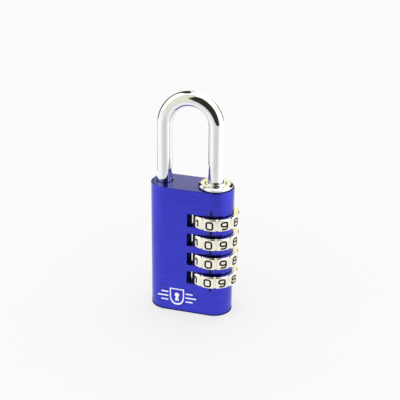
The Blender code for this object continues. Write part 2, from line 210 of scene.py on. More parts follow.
def turned(name, profile, x=AXIS_X, steps=128):
    """A closed profile of (radius, z) turned round an upright axis at x."""
    shape = bmesh.new()
    loops = []
    for i in range(steps):
        across, along = math.cos(2 * math.pi * i / steps), math.sin(2 * math.pi * i / steps)
        loops.append([shape.verts.new((x + r * across, r * along, z)) for r, z in profile])
    for i in range(steps):
        here, there = loops[i], loops[(i + 1) % steps]
        for j in range(len(profile)):
            k = (j + 1) % len(profile)
            shape.faces.new((here[j], there[j], there[k], here[k]))
    return from_bmesh(name, shape)


def rounded(corners, radii, steps=5):
    """A closed profile whose corners are replaced by arcs, each of its own radius."""
    points = []
    count = len(corners)
    for i, (corner, radius) in enumerate(zip(corners, radii)):
        here = Vector(corner)
        before = (Vector(corners[i - 1]) - here).normalized()
        after = (Vector(corners[(i + 1) % count]) - here).normalized()
        if radius == 0:
            points.append(tuple(here))
            continue
        half = before.angle(after) / 2
        reach = radius / math.tan(half)
        centre = here + (before + after).normalized() * (radius / math.sin(half))
        start = here + before * reach - centre
        end = here + after * reach - centre
        sweep = -start.angle_signed(end)
        for j in range(steps + 1):
            turned_by = sweep * j / steps
            c, s = math.cos(turned_by), math.sin(turned_by)
            points.append((centre.x + start.x * c - start.y * s, centre.y + start.x * s + start.y * c))
    return points


def combine(base, tool, operation):
    """Base cut by tool, joined to it or kept only where it meets it. The tool is used up.

    It is done in millimetres, because the solver's own distances suit large shapes."""
    for thing in (base, tool):
        thing.data.transform(Matrix.Scale(1 / MM, 4))
    step = base.modifiers.new(operation.lower(), "BOOLEAN")
    step.operation = operation
    step.solver = "EXACT"
    step.object = tool
    bpy.context.view_layer.update()
    evaluated = base.evaluated_get(bpy.context.evaluated_depsgraph_get())
    mesh = bpy.data.meshes.new_from_object(evaluated)
    mesh.transform(Matrix.Scale(MM, 4))
    base.modifiers.clear()
    base.data = mesh
    bpy.data.objects.remove(tool, do_unlink=True)


def cut(base, *tools):
    for tool in tools:
        combine(base, tool, "DIFFERENCE")


def soften(thing, width, segments, angle):
    """Small rounds on every edge sharper than angle, in degrees."""
    bevel = thing.modifiers.new("edge_round", "BEVEL")
    bevel.width = width
    bevel.segments = segments
    bevel.limit_method = "ANGLE"
    bevel.angle_limit = math.radians(angle)
    bevel.use_clamp_overlap = True
    return baked(thing)


def baked(thing):
    """The thing with its modifiers made part of its mesh."""
    bpy.context.view_layer.update()
    evaluated = thing.evaluated_get(bpy.context.evaluated_depsgraph_get())
    mesh = bpy.data.meshes.new_from_object(evaluated)
    thing.modifiers.clear()
    thing.data = mesh
    return thing


def smooth(thing, angle):
    """Smooth shading up to angle, in degrees, in which the large faces keep their own direction."""
    thing.data.shade_smooth()
    thing.data.set_sharp_from_angle(angle=math.radians(angle))
    weighted = thing.modifiers.new("weighted_normals", "WEIGHTED_NORMAL")
    weighted.mode = "FACE_AREA"
    weighted.weight = 100
    weighted.keep_sharp = True
    return baked(thing)


def clothe(thing, *surfaces):
    thing.data.materials.clear()
    for surface in surfaces:
        thing.data.materials.append(surface)
    return thing


# ---------------------------------------------------------------- materials

BLACK = (0.0, 0.0, 0.0, 1.0)
WHITE = (1.0, 1.0, 1.0, 1.0)
# How the grain of the brushed faces is squeezed along X, Y and Z, and how much coarser its bands are
LEVEL_GRAIN = (800.0, 800.0, 9000.0)
LONG_GRAIN = (500.0, 10000.0, 500.0)
COARSE_GRAIN = 6


class Shader:
    """A new material and short ways to add nodes to it. Settings are sockets, such as Coat_Weight=0.5."""

    def __init__(self, name, **settings):
        self.material = bpy.data.materials.new(name)
        self.material.use_nodes = True
        self.tree = self.material.node_tree
        self.surface = self.tree.nodes["Principled BSDF"]
        for key, value in settings.items():
            self.surface.inputs[key.replace("_", " ")].default_value = value

    def add(self, kind, **properties):
        node = self.tree.nodes.new(kind)
        for key, value in properties.items():
            setattr(node, key, value)
        return node

    def link(self, output, target):
        self.tree.links.new(output, target)

    def noise(self, squeeze, detail=3.0, roughness=0.5):
        """Noise in the object's own space, squeezed by three factors along X, Y and Z."""
        place = self.add("ShaderNodeTexCoord")
        mapping = self.add("ShaderNodeMapping")
        mapping.inputs["Scale"].default_value = squeeze
        self.link(place.outputs["Object"], mapping.inputs["Vector"])
        node = self.add("ShaderNodeTexNoise")
        node.inputs["Scale"].default_value = 1.0
        node.inputs["Detail"].default_value = detail
        node.inputs["Roughness"].default_value = roughness
        self.link(mapping.outputs["Vector"], node.inputs["Vector"])
        return node.outputs["Fac"]

    def ramp(self, value, low, high, start=0.0, end=1.0):
        """Value taken from start-end to low-high, and held there outside it."""
        node = self.add("ShaderNodeMapRange")
        for key, number in (("From Min", start), ("From Max", end), ("To Min", low), ("To Max", high)):
            node.inputs[key].default_value = number
        self.link(value, node.inputs["Value"])
        return node.outputs["Result"]

    def blend(self, share, first, second):
        """First and second, colours or outputs, mixed by share."""
        node = self.add("ShaderNodeMix", data_type="RGBA")
        for socket, value in ((node.inputs[6], first), (node.inputs[7], second)):
            if isinstance(value, tuple):
                socket.default_value = (*value, 1.0)
            else:
                self.link(value, socket)
        self.link(share, node.inputs[0])
        return node.outputs[2]

    def math(self, operation, first, second):
        node = self.add("ShaderNodeMath", operation=operation)
        for socket, value in ((node.inputs[0], first), (node.inputs[1], second)):
            if isinstance(value, (int, float)):
                socket.default_value = value
            else:
                self.link(value, socket)
        return node.outputs[0]

    def bump(self, height, strength, distance):
        node = self.add("ShaderNodeBump")
        node.inputs["Strength"].default_value = strength
        node.inputs["Distance"].default_value = distance
        self.link(height, node.inputs["Height"])
        self.link(node.outputs["Normal"], self.surface.inputs["Normal"])
        return node.outputs["Normal"]

    def colour(self, output):
        self.link(output, self.surface.inputs["Base Color"])

    def rough(self, output):
        self.link(output, self.surface.inputs["Roughness"])


def anodised(name, deep, light, rough, squeeze, metal, coat, tangent_axis=None, turn=0.0):
    """Brushed and anodised aluminium, whose fine and coarse grain runs along the strokes of the brush."""
    shader = Shader(
        name, Metallic=metal, Specular_Tint=(0.45, 0.45, 0.7, 1.0),
        Coat_Weight=coat, Coat_Roughness=0.2, Coat_IOR=1.5,
    )
    hair = shader.noise(squeeze, detail=4.0, roughness=0.6)
    band = shader.noise(tuple(s / COARSE_GRAIN for s in squeeze), detail=2.0, roughness=0.6)
    grain = shader.math("ADD", shader.math("MULTIPLY", hair, 0.5), shader.math("MULTIPLY", band, 0.5))
    cloud = shader.noise((60.0, 60.0, 90.0), detail=2.0)
    used = (0.38, 0.62)
    tone = shader.blend(shader.ramp(grain, 0.0, 1.0, *used), deep, light)
    shader.colour(shader.blend(shader.ramp(cloud, 0.0, 0.35, 0.35, 0.7), tone, light))
    shader.rough(shader.ramp(grain, *rough, *used))
    shader.link(shader.bump(grain, 0.7, 0.02 * MM), shader.surface.inputs["Coat Normal"])
    if tangent_axis:
        shader.surface.inputs["Anisotropic"].default_value = 0.5
        shader.surface.inputs["Anisotropic Rotation"].default_value = turn
        tangent = shader.add("ShaderNodeTangent", direction_type="RADIAL", axis=tangent_axis)
        shader.link(tangent.outputs["Tangent"], shader.surface.inputs["Tangent"])
    return shader.material


def chrome(name, tint):
    """Mirror chrome plate, with hairline polishing marks and the slight haze of handling."""
    shader = Shader(name, Metallic=1.0)
    haze = shader.noise((160.0, 160.0, 60.0), detail=4.0, roughness=0.6)
    marks = shader.noise((900.0, 900.0, 7000.0), detail=2.0)
    shader.colour(shader.blend(shader.ramp(haze, 0.0, 1.0, 0.35, 0.75), tint, tuple(0.93 * c for c in tint)))
    shader.rough(shader.ramp(haze, 0.025, 0.07, 0.4, 0.8))
    shader.bump(marks, 0.03, 0.01 * MM)
    return shader.material


def nickel(name, bright, dull):
    """Satin nickel plate with a fine grain that runs round the dial."""
    shader = Shader(name, Metallic=1.0)
    grain = shader.noise((500.0, 500.0, 9000.0), roughness=0.6)
    patches = shader.noise((400.0, 400.0, 400.0))
    shader.colour(shader.blend(shader.ramp(patches, 0.0, 1.0, 0.35, 0.7), bright, dull))
    shader.rough(shader.ramp(grain, 0.12, 0.24, 0.3, 0.7))
    shader.bump(grain, 0.12, 0.01 * MM)
    return shader.material


def print_ink(name, colour, roughness):
    """Stoved paint or printed ink, a little uneven."""
    shader = Shader(name, Metallic=0.0, Specular_IOR_Level=0.05)
    mottle = shader.noise((2600.0, 2600.0, 2600.0))
    light = tuple(min(1.0, c * 1.25 + 0.012) for c in colour)
    shader.colour(shader.blend(shader.ramp(mottle, 0.0, 1.0, 0.35, 0.7), colour, light))
    shader.rough(shader.ramp(mottle, roughness - 0.08, roughness + 0.1, 0.3, 0.7))
    shader.bump(mottle, 0.15, 0.01 * MM)
    return shader.material


def worked_metal(name, bright, dull, rough, squeeze):
    """Turned, drawn or plated metal with its tool marks."""
    shader = Shader(name, Metallic=1.0)
    marks = shader.noise(squeeze, detail=4.0, roughness=0.6)
    stain = shader.noise((350.0, 350.0, 350.0))
    shader.colour(shader.blend(shader.ramp(stain, 0.0, 1.0, 0.35, 0.75), bright, dull))
    shader.rough(shader.ramp(marks, *rough, 0.3, 0.7))
    shader.bump(marks, 0.2, 0.01 * MM)
    return shader.material


BODY_SIDE = anodised(
    "anodised_side", (0.003, 0.004, 0.38), (0.015, 0.018, 0.55), (0.25, 0.36), LEVEL_GRAIN,
    metal=1.0, coat=0.85, tangent_axis="Z", turn=0.25,
)
BODY_TOP = anodised(
    "anodised_top", (0.008, 0.010, 0.26), (0.026, 0.028, 0.46), (0.22, 0.32), LONG_GRAIN,
    metal=0.80, coat=0.9, tangent_axis="X",
)
# Painted shade: the walls inside the slots and bores are the same blue anodising, painted near black for the
# shade in them
BODY_CUT_PAINTED_SHADE = anodised(
    "anodised_cut_painted_shade", (0.004, 0.004, 0.04), (0.008, 0.008, 0.06), (0.35, 0.50), LEVEL_GRAIN,
    metal=0.6, coat=0.1,
)
SHACKLE_CHROME = chrome("shackle_chrome", (0.78, 0.78, 0.78))
COLLAR_CHROME = chrome("collar_chrome", (0.80, 0.80, 0.78))
DIAL_NICKEL = nickel("dial_nickel", (0.86, 0.83, 0.73), (0.76, 0.73, 0.63))
DIGIT_INK = print_ink("digit_ink", (0.006, 0.006, 0.007), 0.42)
INDEX_INK = print_ink("index_ink", (0.006, 0.006, 0.010), 0.45)
MARK_INK = print_ink("mark_ink", (0.70, 0.70, 0.74), 0.50)
SLEEVE_BRASS = worked_metal(
    "sleeve_brass", (0.66, 0.47, 0.18), (0.45, 0.31, 0.12), (0.22, 0.42), (300.0, 300.0, 9000.0)
)
BALL_STEEL = worked_metal(
    "ball_steel", (0.62, 0.62, 0.63), (0.55, 0.55, 0.56), (0.05, 0.12), (900.0, 900.0, 900.0)
)
SPRING_STEEL = worked_metal(
    "spring_steel", (0.36, 0.36, 0.38), (0.24, 0.23, 0.23), (0.28, 0.45), (2500.0, 2500.0, 2500.0)
)
WASHER_STEEL = worked_metal(
    "washer_steel", (0.52, 0.53, 0.55), (0.42, 0.42, 0.40), (0.30, 0.48), (1500.0, 1500.0, 1500.0)
)
PLUG_METAL = worked_metal(
    "plug_aluminium", (0.56, 0.57, 0.59), (0.47, 0.48, 0.50), (0.26, 0.42), (1200.0, 1200.0, 1200.0)
)


# ---------------------------------------------------------------- body


def stadium(inset):
    """The body's outline, drawn in by inset: a rectangle with a half circle at each end."""
    radius = END_RADIUS - inset
    points = []
    for centre_x, start in ((END_X, -90.0), (-END_X, 90.0)):
        for i in range(END_STEPS + 1):
            angle = math.radians(start + 180.0 * i / END_STEPS)
            points.append((centre_x + radius * math.cos(angle), radius * math.sin(angle)))
    return points


def slot_centre_x():
    """Where the middle of a slot's round floor is, so that the floor meets both faces at SLOT_FACE_X."""
    return SLOT_FACE_X + math.sqrt(SLOT_DISC_RADIUS**2 - END_RADIUS**2)


def pocket_cutter(middle):
    """The level hole in a slot's floor, which holds the click ball and its spring."""
    mouth = slot_centre_x() - SLOT_DISC_RADIUS
    rings = []
    for x in (mouth - POCKET_DEPTH, mouth + OVERCUT):
        rings.append([(x, y, middle + z) for y, z in circle(POCKET_RADIUS, 40)])
    return loft("pocket_cutter", rings)


def body_block():
    """The bar with its bores, seats and slots: brushed level on its sides, lengthwise on its top, and near
    black inside as painted shade.
    """
    levels = []
    for i in range(BODY_EDGE_STEPS + 1):
        angle = math.pi / 2 * i / BODY_EDGE_STEPS
        levels.append((BODY_EDGE * (1 - math.cos(angle)), BODY_EDGE * (1 - math.sin(angle))))
    levels += [(BODY_HEIGHT - z, inset) for z, inset in reversed(levels)]
    rings = [[(x, y, z) for x, y in stadium(inset)] for z, inset in levels]
    block = loft("body_shell", rings)
    above = BODY_HEIGHT + OVERCUT
    cut(
        block,
        disc("toe_hole", TOE_HOLE_RADIUS, BODY_HEIGHT - TOE_HOLE_DEPTH, above, x=TOE_X),
        disc("collar_seat", SEAT_RADIUS, COLLAR_LOW.z - GAP, above),
        disc("plug_seat", PLUG_SEAT_RADIUS, -OVERCUT, PLUG_SEAT_DEPTH),
        disc("main_bore", BORE_RADIUS, -OVERCUT, above),
    )
    for k in DIALS:
        low, high = DIAL_Z[k] - SLOT_HEIGHT / 2, DIAL_Z[k] + SLOT_HEIGHT / 2
        slot = disc("slot", SLOT_DISC_RADIUS, low, high, steps=SLOT_DISC_STEPS, x=slot_centre_x())
        cut(block, slot, pocket_cutter(DIAL_Z[k]))
    soften(block, CUT_EDGE, segments=3, angle=50.0)
    smooth(block, 25.0)
    clothe(block, BODY_SIDE, BODY_TOP, BODY_CUT_PAINTED_SHADE)
    upright = 0.7
    for face in block.data.polygons:
        middle, normal = face.center, face.normal
        if middle.z > BODY_HEIGHT - BODY_EDGE / 2 and normal.z > upright:
            face.material_index = 1
            continue
        # Upright faces inside the body, away from its skin, take the near-black surface of painted shade
        side = Vector((middle.x - max(-END_X, min(END_X, middle.x)), middle.y))
        within = DEEP_ABOVE_FOOT < middle.z < BODY_HEIGHT - DEEP_BELOW_TOP
        if within and side.length < END_RADIUS - BODY_EDGE and abs(normal.z) < upright:
            face.material_index = 2
    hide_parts("body_block")
    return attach(block, "lock_body")


# ---------------------------------------------------------------- shackle


def bar_ring(centre, normal, radius):
    """A circle of points round a place on the shackle's centre line, square to the line."""
    level = Vector((0.0, 1.0, 0.0))
    across = level.cross(normal)
    turn = 2 * math.pi / LEG_SIDES
    ring = []
    for j in range(LEG_SIDES):
        angle = turn * (j + 0.5)
        ring.append(centre + (across * math.cos(angle) + level * math.sin(angle)) * radius)
    return ring


def lug(k):
    """The lug on the long leg that dial k's sleeve lets through at the right digit."""
    low = DIAL_Z[k] + SLEEVE_TOP - SLEEVE_LENGTH + LUG_RISE
    half = math.asin(LUG_WIDTH / 2 / LEG_RADIUS)
    outline = [(AXIS_X - LUG_ROOT, LUG_WIDTH / 2)]
    for i in range(LUG_STEPS + 1):
        angle = math.pi - half + 2 * half * i / LUG_STEPS
        outline.append((AXIS_X + LEG_RADIUS * math.cos(angle), LEG_RADIUS * math.sin(angle)))
    outline.append((AXIS_X - LUG_ROOT, -LUG_WIDTH / 2))
    return prism("lug", outline, low, low + LUG_HEIGHT)


def shackle_bar():
    """The bar from the long leg's turned-down core, over the arch, to the rounded toe."""
    up = Vector((0.0, 0.0, 1.0))
    ring_low, ring_high = (corner.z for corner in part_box("retaining_ring"))
    core = (
        (SHACKLE_LOW.z, CORE_RADIUS - CORE_EDGE),
        (SHACKLE_LOW.z + CORE_EDGE, CORE_RADIUS),
        (ring_low - RING_GROOVE_GAP, CORE_RADIUS),
        (ring_low - RING_GROOVE_GAP, RING_GROOVE_RADIUS),
        (ring_high + RING_GROOVE_GAP, RING_GROOVE_RADIUS),
        (ring_high + RING_GROOVE_GAP, CORE_RADIUS),
        (SHOULDER_Z, CORE_RADIUS),
        (SHOULDER_Z, LEG_RADIUS - SHOULDER_EDGE),
        (SHOULDER_Z + SHOULDER_EDGE, LEG_RADIUS),
    )
    rings = [bar_ring(Vector((AXIS_X, 0.0, z)), up, radius) for z, radius in core]
    for i in range(ARCH_STEPS + 1):
        angle = math.pi * i / ARCH_STEPS
        c, s = math.cos(angle), math.sin(angle)
        rise = LONG_SIDE_RISE if i < ARCH_STEPS / 2 else TOE_SIDE_RISE
        centre = Vector((ARCH_X + ARCH_RADIUS * c, 0.0, CROWN_Z - rise * (1 - s)))
        along = Vector((-ARCH_RADIUS * s, 0.0, rise * c)).normalized()
        rings.append(bar_ring(centre, along, LEG_RADIUS))
    for i in range(TOE_STEPS + 1):
        angle = math.pi / 2 * i / TOE_STEPS
        z = TOE_Z + TOE_ROUND * (1 - math.sin(angle))
        radius = LEG_RADIUS - TOE_ROUND * (1 - math.cos(angle))
        rings.append(bar_ring(Vector((TOE_X, 0.0, z)), -up, radius))
    bar = loft("shackle_bar", rings)
    for k in DIALS:
        combine(bar, lug(k), "UNION")
    smooth(bar, 30.0)
    clothe(bar, SHACKLE_CHROME)
    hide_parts("shackle")
    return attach(bar, "shackle")


# ---------------------------------------------------------------- collar and plug


def collar():
    """The plated bush round the locked leg: a bevelled flange, a shallow dish and a bevelled inner ring."""
    seat = BODY_HEIGHT + GAP
    top = COLLAR_HIGH.z
    bore = LEG_RADIUS + 0.15 * MM
    spigot = 4.6 * MM
    flange = COLLAR_HIGH.x - AXIS_X
    rim = seat + 0.45 * MM
    shelf = seat + 1.05 * MM
    slope = 0.85 * MM
    ring = 3.8 * MM
    ring_bevel = 0.24 * MM
    corners = (
        (bore, COLLAR_LOW.z),
        (spigot, COLLAR_LOW.z),
        (spigot, seat),
        (flange, seat),
        (flange, rim),
        (flange - slope, shelf),
        (ring, shelf),
        (ring, top - ring_bevel),
        (ring - ring_bevel, top),
        (bore, top),
    )
    radii = tuple(r * MM for r in (0.1, 0.25, 0.0, 0.1, 0.15, 0.5, 0.05, 0.08, 0.08, 0.1))
    bush = turned("collar_bush", rounded(corners, radii, steps=8), steps=180)
    smooth(bush, 40.0)
    clothe(bush, COLLAR_CHROME)
    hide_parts("shackle_collar")
    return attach(bush, "lock_body")


def plug():
    """The disc pressed in the bottom, with a turned face and a shallow centre mark."""
    radius = PLUG_HIGH.x - AXIS_X
    low, high = PLUG_LOW.z, PLUG_HIGH.z
    centre = 0.05 * MM
    mark_radius = 0.45 * MM
    mark_depth = 0.25 * MM
    face_depth = 0.06 * MM
    rim_width = 0.75 * MM
    face_slope = 0.15 * MM
    corners = (
        (centre, low + mark_depth),
        (mark_radius, low + face_depth),
        (radius - rim_width - face_slope, low + face_depth),
        (radius - rim_width, low),
        (radius, low),
        (radius, high),
        (centre, high),
    )
    radii = tuple(r * MM for r in (0.0, 0.08, 0.05, 0.05, 0.2, 0.05, 0.0))
    cap = turned("plug_cap", rounded(corners, radii))
    smooth(cap, 40.0)
    clothe(cap, PLUG_METAL)
    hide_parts("bottom_plug")
    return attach(cap, "lock_body")


# ---------------------------------------------------------------- digits

RIGHT, TOP = GLYPH_WIDTH / 2, GLYPH_HEIGHT / 2
LEFT, BOTTOM = -RIGHT, -TOP
# Keeps a tail's side off the plane of the loop that it runs into
NUDGE = 0.015 * MM


def line(*points):
    """A stroke of the pen through points."""
    return points, False


def loop(*points):
    """A stroke that comes back to where it began."""
    return points, True


# Each digit's strokes, from its own middle
GLYPHS = {
    0: [loop((LEFT, TOP), (RIGHT, TOP), (RIGHT, BOTTOM), (LEFT, BOTTOM))],
    1: [line((-0.2 * MM, TOP - 0.75 * MM), (0.7 * MM, TOP), (0.7 * MM, BOTTOM))],
    2: [
        line(
            (LEFT, TOP - 0.7 * MM), (LEFT, TOP), (RIGHT, TOP), (RIGHT, 0.1 * MM), (LEFT, -0.1 * MM),
            (LEFT, BOTTOM), (RIGHT, BOTTOM),
        ),
    ],
    3: [
        line((LEFT, TOP), (RIGHT, TOP), (RIGHT, BOTTOM), (LEFT, BOTTOM)),
        line((-0.4 * MM, 0.0), (RIGHT, 0.0)),
    ],
    4: [
        line((-0.45 * MM, TOP), (LEFT, -0.5 * MM), (RIGHT + 0.1 * MM, -0.5 * MM)),
        line((0.5 * MM, 0.35 * MM), (0.5 * MM, BOTTOM)),
    ],
    5: [
        line(
            (RIGHT, TOP), (LEFT, TOP), (LEFT, 0.2 * MM), (RIGHT, 0.2 * MM), (RIGHT, BOTTOM), (LEFT, BOTTOM)
        ),
    ],
    6: [
        line((RIGHT - 0.15 * MM, TOP), (LEFT + NUDGE, TOP), (LEFT + NUDGE, -0.5 * MM)),
        loop((LEFT, 0.25 * MM), (RIGHT, 0.25 * MM), (RIGHT, BOTTOM), (LEFT, BOTTOM)),
    ],
    7: [line((LEFT, TOP), (RIGHT, TOP), (RIGHT, TOP - 0.7 * MM), (-0.25 * MM, BOTTOM))],
    8: [
        loop(
            (LEFT + 0.1 * MM, TOP), (RIGHT - 0.1 * MM, TOP), (RIGHT - 0.1 * MM, 0.1 * MM),
            (LEFT + 0.1 * MM, 0.1 * MM),
        ),
        loop((LEFT, 0.1 * MM), (RIGHT, 0.1 * MM), (RIGHT, BOTTOM), (LEFT, BOTTOM)),
    ],
    9: [
        line((LEFT + 0.15 * MM, BOTTOM), (RIGHT - NUDGE, BOTTOM), (RIGHT - NUDGE, 0.5 * MM)),
        loop((LEFT, TOP), (RIGHT, TOP), (RIGHT, -0.25 * MM), (LEFT, -0.25 * MM)),
    ],
}


def stroke_sides(points, closed):
    """Both sides of a stroke, as pairs of points, with each corner as round as fits."""
    half = STROKE / 2
    sides = []
    count = len(points)
    for i, point in enumerate(points):
        here = Vector(point)
        if not closed and i in (0, count - 1):
            along = Vector(points[1]) - here if i == 0 else here - Vector(points[i - 1])
            normal = Vector((-along.y, along.x)).normalized() * half
            sides.append((here + normal, here - normal))
            continue
        before, after = Vector(points[i - 1]) - here, Vector(points[(i + 1) % count]) - here
        opening = before.angle(after) / 2
        radius = min(BEND, 0.48 * min(before.length, after.length) * math.tan(opening))
        before, after = before.normalized(), after.normalized()
        inward = (before + after).normalized() / math.sin(opening)
        centre = here + inward * radius
        start = (here + before * (radius / math.tan(opening)) - centre).normalized()
        end = (here + after * (radius / math.tan(opening)) - centre).normalized()
        turned_by = -start.angle_signed(end)
        for j in range(BEND_STEPS + 1):
            c, t = math.cos(turned_by * j / BEND_STEPS), math.sin(turned_by * j / BEND_STEPS)
            way = Vector((start.x * c - start.y * t, start.x * t + start.y * c))
            outer = centre + way * (radius + half)
            inner = centre + way * (radius - half) if radius > half else here + inward * half
            sides.append((inner, outer) if turned_by > 0 else (outer, inner))
    return sides


def stroke_solid(points, closed, low, high):
    """A stroke as a bar in front of the plane y = 0, from low to high away from it."""
    shape = bmesh.new()
    loops = []
    for left, right in stroke_sides(points, closed):
        ring = ((left, -low), (left, -high), (right, -high), (right, -low))
        loops.append([shape.verts.new((p.x, depth, p.y)) for p, depth in ring])
    following = loops[1:] + loops[:1] if closed else loops[1:]
    for here, there in zip(loops, following):
        for j in range(4):
            k = (j + 1) % 4
            shape.faces.new((here[j], there[j], there[k], here[k]))
    if not closed:
        shape.faces.new(list(reversed(loops[0])))
        shape.faces.new(loops[-1])
    bmesh.ops.remove_doubles(shape, verts=shape.verts, dist=0.001 * MM)
    return from_bmesh("stroke", shape)


def digit_solid(digit):
    """A digit as a deep bar that passes through the dial's rim at its own place round the dial."""
    made = None
    for i, (points, closed) in enumerate(GLYPHS[digit]):
        # Each stroke is a little longer than the last, so that no two ends share a plane
        reach = ENGRAVED_DEPTH * 6 + 0.05 * MM * i
        solid = stroke_solid(points, closed, DIAL_RADIUS - reach, DIAL_RADIUS + reach)
        if made is None:
            made = solid
        else:
            combine(made, solid, "UNION")
    made.data.transform(Matrix.Translation((0.0, 0.0, -GLYPH_DROP)))
    made.data.transform(Matrix.Rotation(-PANEL_ANGLE * digit, 4, "Z"))
    return made


def rim_shell(name, inner, outer):
    """A thin upright tube round the dial's axis, a little less tall than the dial."""
    half = DIAL_HALF * 0.95
    profile = ((inner, -half), (outer, -half), (outer, half), (inner, half))
    return turned(name, profile, x=0.0, steps=RIM_STEPS)


# ---------------------------------------------------------------- dials


def dial_outline(inset):
    """The dial seen from above, drawn in by inset: ten round panels with a hollow groove between each two."""
    points = []
    groove = GROOVE_WIDTH / DIAL_RADIUS
    for i in range(DIGITS):
        middle = -math.pi / 2 + PANEL_ANGLE * i
        for j in range(PANEL_STEPS + 1):
            angle = middle + (PANEL_ANGLE - groove) * (j / PANEL_STEPS - 0.5)
            points.append((DIAL_RADIUS - inset, angle))
        for j in range(1, GROOVE_STEPS):
            share = j / GROOVE_STEPS
            angle = middle + (PANEL_ANGLE - groove) / 2 + groove * share
            points.append((DIAL_RADIUS - inset - GROOVE_DEPTH * math.sin(math.pi * share) ** 0.8, angle))
    return [(r * math.cos(a), r * math.sin(a)) for r, a in points]


def notched_outline():
    """The band inside the dial, with a notch behind each digit for the sleeve's keys."""
    half_inner = math.asin(NOTCH_WIDTH / 2 / BAND_RADIUS)
    half_outer = math.asin(NOTCH_WIDTH / 2 / NOTCH_RADIUS)
    steps = 4
    points = []
    for i in range(DIGITS):
        middle = -math.pi / 2 + PANEL_ANGLE * i
        start = middle - PANEL_ANGLE + half_inner
        end = middle - half_inner
        for j in range(steps + 1):
            points.append((BAND_RADIUS, start + (end - start) * j / steps))
        points.append((NOTCH_RADIUS, middle - half_outer))
        points.append((NOTCH_RADIUS, middle + half_outer))
    return [(r * math.cos(a), r * math.sin(a)) for r, a in points]


def rim_levels():
    """(height, inset) up the dial's side: a chamfer at each end, its two edges rounded by soft."""
    soft = 0.025 * MM
    lower = (
        (-DIAL_HALF, DIAL_CHAMFER + soft),
        (-DIAL_HALF + soft * 0.3, DIAL_CHAMFER + soft * 0.4),
        (-DIAL_HALF + soft * 0.7, DIAL_CHAMFER - soft * 0.3),
        (-DIAL_HALF + DIAL_CHAMFER - soft * 0.5, soft * 0.55),
        (-DIAL_HALF + DIAL_CHAMFER, soft * 0.2),
        (-DIAL_HALF + DIAL_CHAMFER + soft, 0.0),
    )
    return lower + tuple((-z, inset) for z, inset in reversed(lower))


def dial_meshes():
    """The dial with its ten digits engraved, and the ink that fills them, both on the origin."""
    dial = loft("dial", [[(x, y, z) for x, y in dial_outline(inset)] for z, inset in rim_levels()])
    band = DIAL_HALF - BAND_HEIGHT
    cut(
        dial,
        disc("bore", DIAL_BORE_RADIUS, -DIAL_HALF - OVERCUT, band, x=0.0),
        prism("notches", notched_outline(), band - OVERCUT, DIAL_HALF + OVERCUT),
    )
    ink = None
    for digit in range(DIGITS):
        engraving = digit_solid(digit)
        fill = engraving.copy()
        fill.data = engraving.data.copy()
        bpy.context.scene.collection.objects.link(fill)
        carved = rim_shell("engraved", DIAL_RADIUS - ENGRAVED_DEPTH, DIAL_RADIUS + OVERCUT)
        combine(engraving, carved, "INTERSECT")
        filled = rim_shell("filled", DIAL_RADIUS - ENGRAVED_DEPTH * 1.3, DIAL_RADIUS - INK_SUNK)
        combine(fill, filled, "INTERSECT")
        cut(dial, engraving)
        if ink is None:
            ink = fill
        else:
            joined = bmesh.new()
            joined.from_mesh(ink.data)
            joined.from_mesh(fill.data)
            joined.to_mesh(ink.data)
            joined.free()
            bpy.data.objects.remove(fill, do_unlink=True)
    smooth(dial, 30.0)
    smooth(ink, 30.0)
    clothe(dial, DIAL_NICKEL)
    clothe(ink, DIGIT_INK)
    meshes = dial.data, ink.data
    for thing in (dial, ink):
        bpy.data.objects.remove(thing, do_unlink=True)
    return meshes


def dials():
    """Four dials that share one mesh, each turned and lowered by its own play."""
    dial_mesh, ink_mesh = dial_meshes()
    for k in DIALS:
        turn = Matrix.Rotation(math.radians(DIAL_PLAY[k]), 4, "Z")
        at = Matrix.Translation((AXIS_X, 0.0, DIAL_Z[k] - DIAL_SINK)) @ turn
        wheel = new_object(f"number_dial_{k}", dial_mesh)
        digits = new_object(f"dial_digits_{k}", ink_mesh)
        for thing in (wheel, digits):
            thing.matrix_world = at
        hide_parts(f"dial_wheel_{k}")
        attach(wheel, f"dial_{k}")
        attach(digits, f"dial_{k}")


# ---------------------------------------------------------------- printing on the body

PRINT_HEIGHT = 0.02 * MM
PRINT_ROOT = 0.06 * MM


def printed(name, outlines, surface):
    """Flat shapes of (x, z) printed on the front face, as thin solids that stand just proud of it."""
    shape = bmesh.new()
    for outline in outlines:
        loops = []
        for y in (FRONT_Y + PRINT_ROOT, FRONT_Y - PRINT_HEIGHT):
            loops.append([shape.verts.new((x, y, z)) for x, z in outline])
        count = len(outline)
        for i in range(count):
            j = (i + 1) % count
            shape.faces.new((loops[0][i], loops[0][j], loops[1][j], loops[1][i]))
        shape.faces.new(list(reversed(loops[0])))
        shape.faces.new(loops[1])
    thing = from_bmesh(name, shape)
    smooth(thing, 30.0)
    clothe(thing, surface)
    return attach(thing, "lock_body")


def bar(x_low, x_high, z_low, z_high):
    return [(x_low, z_low), (x_high, z_low), (x_high, z_high), (x_low, z_high)]


def index_marks():
    """The line that the digits are read against, on the webs between the slots and at both ends."""
    half = 0.4 * MM
    tail = 2.15 * MM
    middle = AXIS_X + 0.32 * MM
    edges = [DIAL_Z[1] + SLOT_HEIGHT / 2 + tail]
    for k in DIALS:
        edges += [DIAL_Z[k] + SLOT_HEIGHT / 2 + CUT_EDGE, DIAL_Z[k] - SLOT_HEIGHT / 2 - CUT_EDGE]
    edges.append(DIAL_Z[4] - SLOT_HEIGHT / 2 - tail)
    outlines = []
    for top, bottom in zip(edges[0::2], edges[1::2]):
        outlines.append(bar(middle - half, middle + half, bottom, top))
    return printed("index_marks", outlines, INDEX_INK)


def shield_outline(x, z, width, height, inset):
    """A plain heater shield: straight top and sides, and a base of two arcs that meet in a point."""
    half, top, waist = width / 2 - inset, z + height / 2 - inset, z + height * 0.05
    foot = z - height / 2 + inset * 1.5
    steps = 14
    right = []
    for i in range(steps):
        angle = math.pi / 2 * i / steps
        right.append((x + half * math.cos(angle) ** 0.8, waist + (foot - waist) * math.sin(angle)))
    left = [(2 * x - px, pz) for px, pz in reversed(right)]
    return [(x - half, top), (x + half, top), *right, (x, foot), *left]


